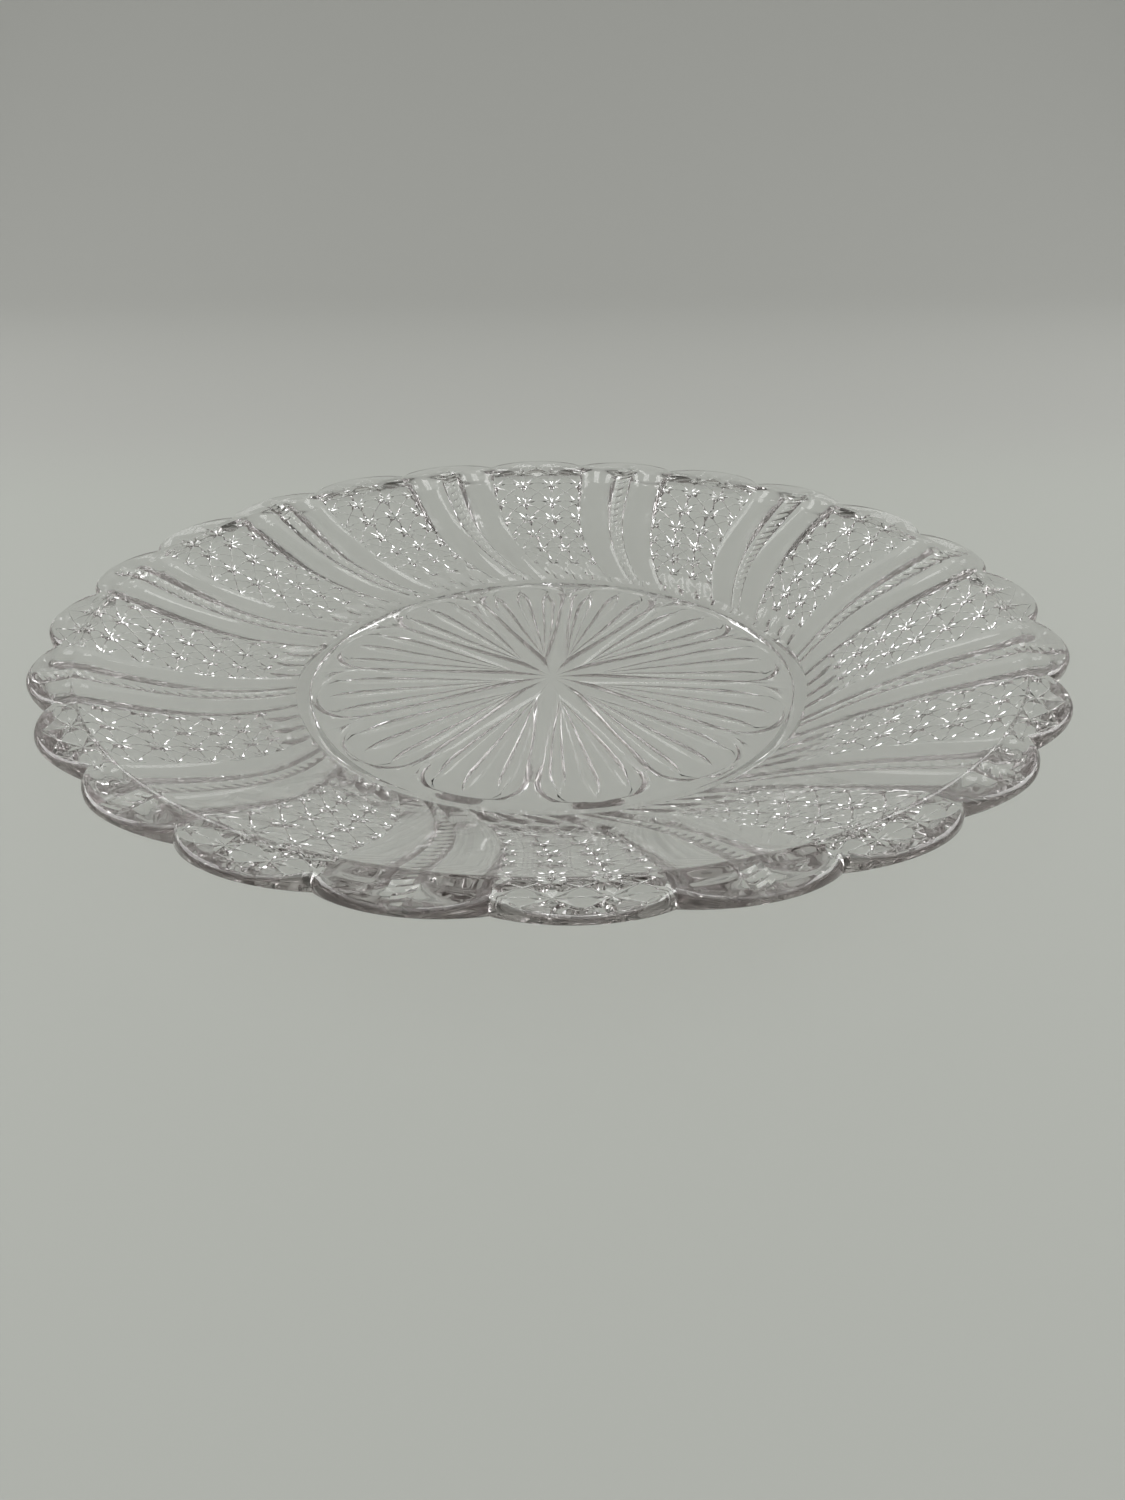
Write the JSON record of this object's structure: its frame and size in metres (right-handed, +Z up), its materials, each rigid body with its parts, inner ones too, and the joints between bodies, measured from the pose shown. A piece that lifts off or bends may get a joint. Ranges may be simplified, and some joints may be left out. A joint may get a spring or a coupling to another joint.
{
  "type": "serving plate",
  "caption": "Round clear pressed-glass serving plate: shallow dish with a scalloped rim, a border of swirling flutes and diamond points, and a rosette under the well.",
  "frame": {"origin": "centre of the foot ring's flat face, on the table", "axes": "+Z up along the plate's axis; the picture is taken from the -Y side, with +X to the right"},
  "size_m": [0.2528, 0.2528, 0.026],
  "materials": {
    "clear_glass": "clear, fire-polished pressed glass with a faint warm grey tint in the thick edges"
  },
  "bodies": {
    "root": {"plate": "clear_glass"}
  },
  "joints": []
}
